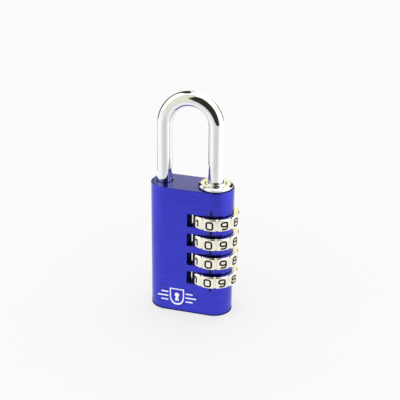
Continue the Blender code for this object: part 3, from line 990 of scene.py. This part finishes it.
def keyhole_mark():
    """A plain shield with a keyhole in it, between sets of level bars."""
    x, z = -3.6 * MM, 5.9 * MM
    width, height, line = 5.4 * MM, 6.6 * MM, 0.42 * MM
    outer = shield_outline(x, z, width, height, 0.0)
    inner = shield_outline(x, z, width, height, line)
    outlines = []
    for i in range(len(outer)):
        j = (i + 1) % len(outer)
        outlines.append([outer[i], outer[j], inner[j], inner[i]])
    eye_radius, eye_rise = 0.85 * MM, 0.75 * MM
    foot_half, foot_drop = 0.75 * MM, 1.6 * MM
    gap = math.radians(28.0)
    steps = 32
    keyhole = []
    for i in range(steps + 1):
        angle = -math.pi / 2 + gap + (2 * math.pi - 2 * gap) * i / steps
        keyhole.append((x + eye_radius * math.cos(angle), z + eye_rise + eye_radius * math.sin(angle)))
    keyhole += [(x - foot_half, z - foot_drop), (x + foot_half, z - foot_drop)]
    outlines.append(keyhole)
    bar_gap, bar_half = 0.6 * MM, 0.25 * MM
    long, short, apart = 3.9 * MM, 2.6 * MM, 1.6 * MM
    for side in (-1, 1):
        start = x + side * (width / 2 + bar_gap)
        for level, length in ((z + apart, short), (z, long), (z - apart, short)):
            end = start + side * length
            outlines.append(bar(min(start, end), max(start, end), level - bar_half, level + bar_half))
    return printed("keyhole_mark", outlines, MARK_INK)


# ---------------------------------------------------------------- inner pieces


def inner_pieces():
    """The pieces inside the body keep their shapes, and get the surfaces of the real ones."""
    surfaces = {"thrust_washer": WASHER_STEEL, "retaining_ring": SPRING_STEEL, "reset_spring": SPRING_STEEL}
    for k in DIALS:
        surfaces[f"code_sleeve_{k}"] = SLEEVE_BRASS
        surfaces[f"click_ball_{k}"] = BALL_STEEL
        surfaces[f"click_spring_{k}"] = SPRING_STEEL
    for name, surface in surfaces.items():
        clothe(frame["nodes"][name], surface)


# ---------------------------------------------------------------- set

CARD_STEPS = 24
CONTACT_REACH = 1.0 * MM
FLOOR_HALF = 3.0
GLOW_RADIUS = 2.5
SKY_STRENGTH = 1.5
# Three floors lie one under another: metal sees the first two, and the camera only the last
SHADE_DROP = 0.005 * MM
GLOW_DROP = 0.01 * MM
FLOOR_DROP = 0.02 * MM


def glossy_only(thing):
    """Seen in reflections, and nowhere else."""
    thing.visible_camera = False
    thing.visible_diffuse = False
    thing.visible_shadow = False
    thing.visible_transmission = False
    thing.visible_volume_scatter = False


def emitter(name, colour):
    """A surface that gives off its own colour and reflects nothing."""
    shader = Shader(
        name, Base_Color=BLACK, Specular_IOR_Level=0.0, Emission_Color=(*colour, 1.0), Emission_Strength=1.0
    )
    return shader.material


def toward(turn, rise):
    """The direction at turn degrees round from the front and rise degrees up."""
    turn, rise = math.radians(turn), math.radians(rise)
    return Vector((math.sin(turn) * math.cos(rise), -math.cos(turn) * math.cos(rise), math.sin(rise)))


def card(name, outline, centre, distance, surface):
    """A curved card round a centre, its outline in degrees round from the front and degrees up."""
    low, high = min(e for a, e in outline), max(e for a, e in outline)
    shape = bmesh.new()
    loops = []
    for i in range(CARD_STEPS + 1):
        rise = low + (high - low) * i / CARD_STEPS
        crossings = []
        for (a0, e0), (a1, e1) in zip(outline, outline[1:] + outline[:1]):
            if (e0 - rise) * (e1 - rise) <= 0 and e0 != e1:
                crossings.append(a0 + (a1 - a0) * (rise - e0) / (e1 - e0))
        left, right = min(crossings), max(crossings)
        turns = [left + (right - left) * j / CARD_STEPS for j in range(CARD_STEPS + 1)]
        loops.append([shape.verts.new(centre + toward(turn, rise) * distance) for turn in turns])
    for lower, upper in zip(loops, loops[1:]):
        for j in range(CARD_STEPS):
            shape.faces.new((lower[j], lower[j + 1], upper[j + 1], upper[j]))
    mesh = bpy.data.meshes.new(name)
    shape.to_mesh(mesh)
    shape.free()
    thing = new_object(name, mesh)
    clothe(thing, surface)
    glossy_only(thing)


def floor_glow():
    """The floor as metal sees it: dim in front, dimmer straight behind, and brightest at the right."""
    surface = Shader("floor_glow", Base_Color=BLACK, Specular_IOR_Level=0.0, Emission_Color=WHITE)
    place = surface.add("ShaderNodeTexCoord")
    flat = surface.add("ShaderNodeVectorMath", operation="MULTIPLY")
    flat.inputs[1].default_value = (1.0, 1.0, 0.0)
    surface.link(place.outputs["Object"], flat.inputs[0])
    unit = surface.add("ShaderNodeVectorMath", operation="NORMALIZE")
    surface.link(flat.outputs["Vector"], unit.inputs[0])

    def facing(turn):
        """How nearly a place on the floor lies toward turn: 1 there, and -1 opposite."""
        node = surface.add("ShaderNodeVectorMath", operation="DOT_PRODUCT")
        node.inputs[1].default_value = toward(turn, 0.0)
        surface.link(unit.outputs["Vector"], node.inputs[0])
        return node.outputs["Value"]

    ahead = facing(13.0)
    front = surface.ramp(ahead, 1.25, 0.80, 0.47, 1.0)
    right = surface.ramp(facing(85.0), 1.0, 1.22, 0.7, 0.95)
    behind = surface.ramp(ahead, 0.35, 1.0, -1.0, -0.93)
    around = surface.math("MULTIPLY", surface.math("MULTIPLY", front, right), behind)
    distance = surface.add("ShaderNodeVectorMath", operation="LENGTH")
    surface.link(flat.outputs["Vector"], distance.inputs[0])
    far = surface.ramp(distance.outputs["Value"], 0.0, 1.0, 0.08, 0.14)
    near = surface.math("MULTIPLY", surface.math("SUBTRACT", 1.0, far), 1.1)
    strength = surface.math("ADD", near, surface.math("MULTIPLY", around, far))
    surface.link(strength, surface.surface.inputs["Emission Strength"])
    shape = bmesh.new()
    shape.faces.new([shape.verts.new((x, y, 0.0)) for x, y in circle(GLOW_RADIUS, 64)])
    thing = from_bmesh("floor_glow", shape)
    thing.location.z = -GLOW_DROP
    clothe(thing, surface.material)
    glossy_only(thing)


def contact_shade(surface):
    """The floor close round the body as metal sees it: no light gets in there."""
    shape = bmesh.new()
    shape.faces.new([shape.verts.new((x, y, 0.0)) for x, y in stadium(-CONTACT_REACH)])
    thing = from_bmesh("contact_shade", shape)
    thing.location.z = -SHADE_DROP
    clothe(thing, surface)
    glossy_only(thing)


def floor():
    """The floor as the camera sees it: almost white, with room for a faint shadow."""
    shape = bmesh.new()
    corners = bar(-FLOOR_HALF, FLOOR_HALF, -FLOOR_HALF, FLOOR_HALF)
    shape.faces.new([shape.verts.new((x, y, 0.0)) for x, y in corners])
    thing = from_bmesh("studio_floor", shape)
    thing.location.z = -FLOOR_DROP
    surface = Shader(
        "studio_floor", Roughness=0.8, Specular_IOR_Level=0.0, Emission_Color=WHITE, Emission_Strength=0.635
    )
    cloud = surface.noise((3.0, 3.0, 3.0))
    surface.colour(surface.blend(cloud, (0.215, 0.215, 0.215), (0.225, 0.225, 0.225)))
    clothe(thing, surface.material)


def world():
    """Even white light from all round."""
    sky = bpy.data.worlds.new("studio")
    bpy.context.scene.world = sky
    sky.use_nodes = True
    background = sky.node_tree.nodes["Background"]
    background.inputs["Color"].default_value = WHITE
    background.inputs["Strength"].default_value = SKY_STRENGTH


def camera():
    """The photo's camera, which looks at CAMERA_TARGET from CAMERA_DISTANCE away."""
    turn, roll = math.radians(CAMERA_TURN), math.radians(CAMERA_ROLL)
    back = toward(CAMERA_TURN, CAMERA_RISE)
    level = Vector((math.cos(turn), math.sin(turn), 0.0))
    upright = back.cross(level)
    right = level * math.cos(roll) + upright * math.sin(roll)
    up = back.cross(right)
    data = bpy.data.cameras.new("camera")
    data.lens = CAMERA_LENS
    data.sensor_width = 36.0
    data.clip_start = 0.01
    data.clip_end = 20.0
    thing = bpy.data.objects.new("camera", data)
    bpy.context.scene.collection.objects.link(thing)
    facing = Matrix((right, up, back)).transposed().to_4x4()
    thing.matrix_world = Matrix.Translation(CAMERA_TARGET + back * CAMERA_DISTANCE) @ facing
    bpy.context.scene.camera = thing


def cards():
    """What metal sees round the lock besides white: the dark room past the lights, and cloths."""
    dark = emitter("dark_room", (0.036, 0.034, 0.031))
    cream = emitter("cream_cloth", (1.0, 1.0, 0.82))
    straw = emitter("straw_cloth", (1.15, 1.13, 0.75))
    moss = emitter("moss_cloth", (0.10, 0.12, 0.03))
    olive = emitter("olive_cloth", (0.20, 0.19, 0.06))
    middle = Vector((0.0, 0.0, 60.0)) * MM
    crown = Vector((0.0, 0.0, 76.0)) * MM
    low = Vector((0.0, 0.0, 40.0)) * MM
    foot = Vector((AXIS_X, 0.0, COLLAR_HIGH.z))
    opening = [
        (0, -16), (54, -15), (60, 2), (60, 25), (53, 40), (42, 54),
        (22, 63), (0, 62), (-6, 52), (-12, 34), (-14, 18), (-11, 2),
    ]
    fringe = [
        (0, -16), (56, -15), (63, 25), (60, 52), (50, 69), (20, 70),
        (-6, 66), (-12, 54), (-17, 38), (-18, 18), (-12, 0),
    ]
    back = [
        (-160, -14), (-106, -14), (-108, 8), (-122, 20), (-130, 30), (-129, 44),
        (-118, 55), (-108, 61), (-104, 68), (-136, 72), (-160, 52),
    ]
    side = [(-60, -8), (-14, -8), (-14, 40), (0, 64), (0, 82), (-60, 82)]
    cloth = [(-190, 4), (-149, 4), (-149, 30), (-156, 35), (-190, 35)]
    card("camera_opening", opening, crown, 0.16, dark)
    card("opening_fringe", fringe, crown, 0.165, olive)
    card("side_cloth", side, middle, 0.30, cream)
    card("back_opening", back, crown, 0.30, dark)
    card("back_strip", [(146, -6), (176, -6), (176, 14), (146, 14)], crown, 0.30, dark)
    card("back_cloth", cloth, low, 0.08, straw)
    card("back_curtain", [(-168, 6), (-153, 6), (-153, 28), (-168, 28)], crown, 0.29, moss)
    card("back_skirt", [(-176, -16), (-124, -16), (-124, 4), (-176, 4)], low, 0.12, dark)
    card("back_post", [(140, 12), (168, 12), (168, 34), (140, 34)], foot, 0.06, dark)
    floor_glow()
    contact_shade(dark)


def studio():
    floor()
    world()
    camera()
    cards()
    bpy.context.scene.view_settings.view_transform = "Standard"


body_block()
shackle_bar()
collar()
plug()
dials()
index_marks()
keyhole_mark()
inner_pieces()
studio()
